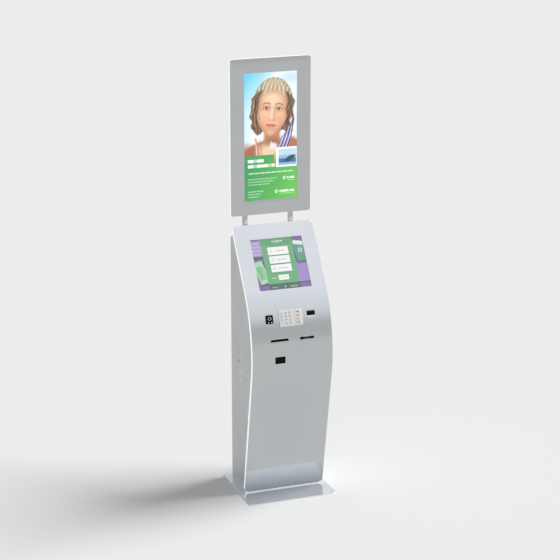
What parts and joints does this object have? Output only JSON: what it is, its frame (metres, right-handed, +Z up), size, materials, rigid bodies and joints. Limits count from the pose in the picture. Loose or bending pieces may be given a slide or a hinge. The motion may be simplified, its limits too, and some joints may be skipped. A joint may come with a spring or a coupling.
{
  "type": "ticket vending machine",
  "caption": "Free-standing self-service ticket kiosk: curved front with touch screen, keypad, slots and coin cup, and a tall lit poster display on two posts.",
  "frame": {"origin": "centre of the base plate's underside, on the ground", "axes": "+Z up, +X to the customer's right, -Y towards the customer"},
  "size_m": [0.5, 0.466, 2.3595],
  "materials": {
    "mirror_steel": "mirror polished stainless plate",
    "silver_paint": "fine satin silver powder coat",
    "white_edge": "gloss white powder coat",
    "grey_paint": "satin grey powder coat",
    "bezel_grey": "satin light grey powder coat",
    "zinc_steel": "zinc plated sheet",
    "brushed_steel": "brushed along the length",
    "key_steel": "bead blasted stainless",
    "black_plastic": "fine texture",
    "white_plastic": "smooth",
    "touch_screen": "lit touch screen",
    "display_screen": "lit poster screen",
    "dark_window": "smoked window",
    "rubber": "ground nitrile",
    "paper": "thermal paper"
  },
  "bodies": {
    "machine": {"touch_glass": "touch_screen", "touch_monitor": "zinc_steel", "keypad_housing": "key_steel", "coin_bezel": "black_plastic", "coin_validator": "black_plastic", "reader_window": "dark_window", "reader_body": "black_plastic", "receipt_mouth": "black_plastic", "receipt_printer": "zinc_steel", "card_mouth": "black_plastic", "card_reader": "zinc_steel", "return_cup": "black_plastic", "base_plate": "mirror_steel", "fascia_skin": "silver_paint", "fascia_edge_band": "white_edge", "side_panel_left": "grey_paint", "side_panel_right": "grey_paint", "cabinet_top": "grey_paint", "cabinet_floor": "grey_paint", "equipment_shelf": "zinc_steel", "door_hinge_lower": "zinc_steel", "door_hinge_upper": "zinc_steel", "coin_chute": "zinc_steel", "computer": "zinc_steel", "power_supply": "zinc_steel", "coin_box": "zinc_steel", "cable_gland": "black_plastic", "post_left": "brushed_steel", "post_right": "brushed_steel", "post_crossbar": "zinc_steel", "display_bezel": "bezel_grey", "display_edge_band": "white_edge", "display_screen": "display_screen", "display_rear_cover": "grey_paint", "display_bracket": "zinc_steel"},
    "rear_door": {"rear_door": "grey_paint", "fan_frame": "black_plastic"},
    "fan_rotor": {"fan_rotor": "black_plastic"},
    "door_latch": {"door_latch": "black_plastic"},
    "coin_return_button": {"coin_return_button": "white_plastic"},
    "return_flap": {"return_flap": "black_plastic"},
    "platen_roller": {"platen_roller": "rubber"},
    "paper_roll": {"paper_roll": "paper"},
    "key_switch": {"key_switch": "black_plastic"},
    "key_row1_column1": {"key_row1_column1": "key_steel"},
    "key_row1_column2": {"key_row1_column2": "key_steel"},
    "key_row1_column3": {"key_row1_column3": "key_steel"},
    "key_row1_column4": {"key_row1_column4": "key_steel"},
    "key_row2_column1": {"key_row2_column1": "key_steel"},
    "key_row2_column2": {"key_row2_column2": "key_steel"},
    "key_row2_column3": {"key_row2_column3": "key_steel"},
    "key_row2_column4": {"key_row2_column4": "key_steel"},
    "key_row3_column1": {"key_row3_column1": "key_steel"},
    "key_row3_column2": {"key_row3_column2": "key_steel"},
    "key_row3_column3": {"key_row3_column3": "key_steel"},
    "key_row3_column4": {"key_row3_column4": "key_steel"},
    "key_row4_column1": {"key_row4_column1": "key_steel"},
    "key_row4_column2": {"key_row4_column2": "key_steel"},
    "key_row4_column3": {"key_row4_column3": "key_steel"},
    "key_row4_column4": {"key_row4_column4": "key_steel"}
  },
  "joints": [
    {"name": "rear_door_hinge", "type": "hinge", "parent": "machine", "child": "rear_door", "pos_m": [0.2, 0.21722, 0.7], "axis": [0, 0, -1], "range_deg": [0, 115]},
    {"name": "door_latch_turn", "type": "hinge", "parent": "rear_door", "child": "door_latch", "pos_m": [-0.165, 0.21422, 0.76], "axis": [0, -1, 0], "range_deg": [0, 90]},
    {"name": "fan_spin", "type": "hinge", "parent": "rear_door", "child": "fan_rotor", "pos_m": [0, 0.19442, 1.08], "axis": [0, 1, 0], "continuous": true},
    {"name": "coin_return_press", "type": "slide", "parent": "machine", "child": "coin_return_button", "axis": [0, 0.9418, -0.3362], "range_m": [0, 0.0025], "stiffness_N_per_m": 400},
    {"name": "return_flap_swing", "type": "hinge", "parent": "machine", "child": "return_flap", "pos_m": [0, -0.2053, 0.82352], "axis": [1, 0, 0], "range_deg": [0, 70]},
    {"name": "paper_roll_spin", "type": "hinge", "parent": "machine", "child": "paper_roll", "pos_m": [0, -0.07447, 0.87536], "axis": [1, 0, 0], "continuous": true},
    {"name": "platen_spin", "type": "hinge", "parent": "machine", "child": "platen_roller", "pos_m": [0, -0.17113, 0.89758], "axis": [1, 0, 0], "continuous": true},
    {"name": "key_switch_turn", "type": "hinge", "parent": "machine", "child": "key_switch", "pos_m": [-0.202, 0.097, 0.715], "axis": [-1, 0, 0], "range_deg": [0, 90]},
    {"name": "key_row1_column1_press", "type": "slide", "parent": "machine", "child": "key_row1_column1", "axis": [0, 0.9412, -0.3377], "range_m": [0, 0.0018], "stiffness_N_per_m": 800},
    {"name": "key_row1_column2_press", "type": "slide", "parent": "machine", "child": "key_row1_column2", "axis": [0, 0.9412, -0.3377], "range_m": [0, 0.0018], "stiffness_N_per_m": 800},
    {"name": "key_row1_column3_press", "type": "slide", "parent": "machine", "child": "key_row1_column3", "axis": [0, 0.9412, -0.3377], "range_m": [0, 0.0018], "stiffness_N_per_m": 800},
    {"name": "key_row1_column4_press", "type": "slide", "parent": "machine", "child": "key_row1_column4", "axis": [0, 0.9412, -0.3377], "range_m": [0, 0.0018], "stiffness_N_per_m": 800},
    {"name": "key_row2_column1_press", "type": "slide", "parent": "machine", "child": "key_row2_column1", "axis": [0, 0.9412, -0.3377], "range_m": [0, 0.0018], "stiffness_N_per_m": 800},
    {"name": "key_row2_column2_press", "type": "slide", "parent": "machine", "child": "key_row2_column2", "axis": [0, 0.9412, -0.3377], "range_m": [0, 0.0018], "stiffness_N_per_m": 800},
    {"name": "key_row2_column3_press", "type": "slide", "parent": "machine", "child": "key_row2_column3", "axis": [0, 0.9412, -0.3377], "range_m": [0, 0.0018], "stiffness_N_per_m": 800},
    {"name": "key_row2_column4_press", "type": "slide", "parent": "machine", "child": "key_row2_column4", "axis": [0, 0.9412, -0.3377], "range_m": [0, 0.0018], "stiffness_N_per_m": 800},
    {"name": "key_row3_column1_press", "type": "slide", "parent": "machine", "child": "key_row3_column1", "axis": [0, 0.9412, -0.3377], "range_m": [0, 0.0018], "stiffness_N_per_m": 800},
    {"name": "key_row3_column2_press", "type": "slide", "parent": "machine", "child": "key_row3_column2", "axis": [0, 0.9412, -0.3377], "range_m": [0, 0.0018], "stiffness_N_per_m": 800},
    {"name": "key_row3_column3_press", "type": "slide", "parent": "machine", "child": "key_row3_column3", "axis": [0, 0.9412, -0.3377], "range_m": [0, 0.0018], "stiffness_N_per_m": 800},
    {"name": "key_row3_column4_press", "type": "slide", "parent": "machine", "child": "key_row3_column4", "axis": [0, 0.9412, -0.3377], "range_m": [0, 0.0018], "stiffness_N_per_m": 800},
    {"name": "key_row4_column1_press", "type": "slide", "parent": "machine", "child": "key_row4_column1", "axis": [0, 0.9412, -0.3377], "range_m": [0, 0.0018], "stiffness_N_per_m": 800},
    {"name": "key_row4_column2_press", "type": "slide", "parent": "machine", "child": "key_row4_column2", "axis": [0, 0.9412, -0.3377], "range_m": [0, 0.0018], "stiffness_N_per_m": 800},
    {"name": "key_row4_column3_press", "type": "slide", "parent": "machine", "child": "key_row4_column3", "axis": [0, 0.9412, -0.3377], "range_m": [0, 0.0018], "stiffness_N_per_m": 800},
    {"name": "key_row4_column4_press", "type": "slide", "parent": "machine", "child": "key_row4_column4", "axis": [0, 0.9412, -0.3377], "range_m": [0, 0.0018], "stiffness_N_per_m": 800}
  ],
  "couplings": [
    {"joint": "platen_spin", "follows": "paper_roll_spin", "ratio": 4.125}
  ]
}
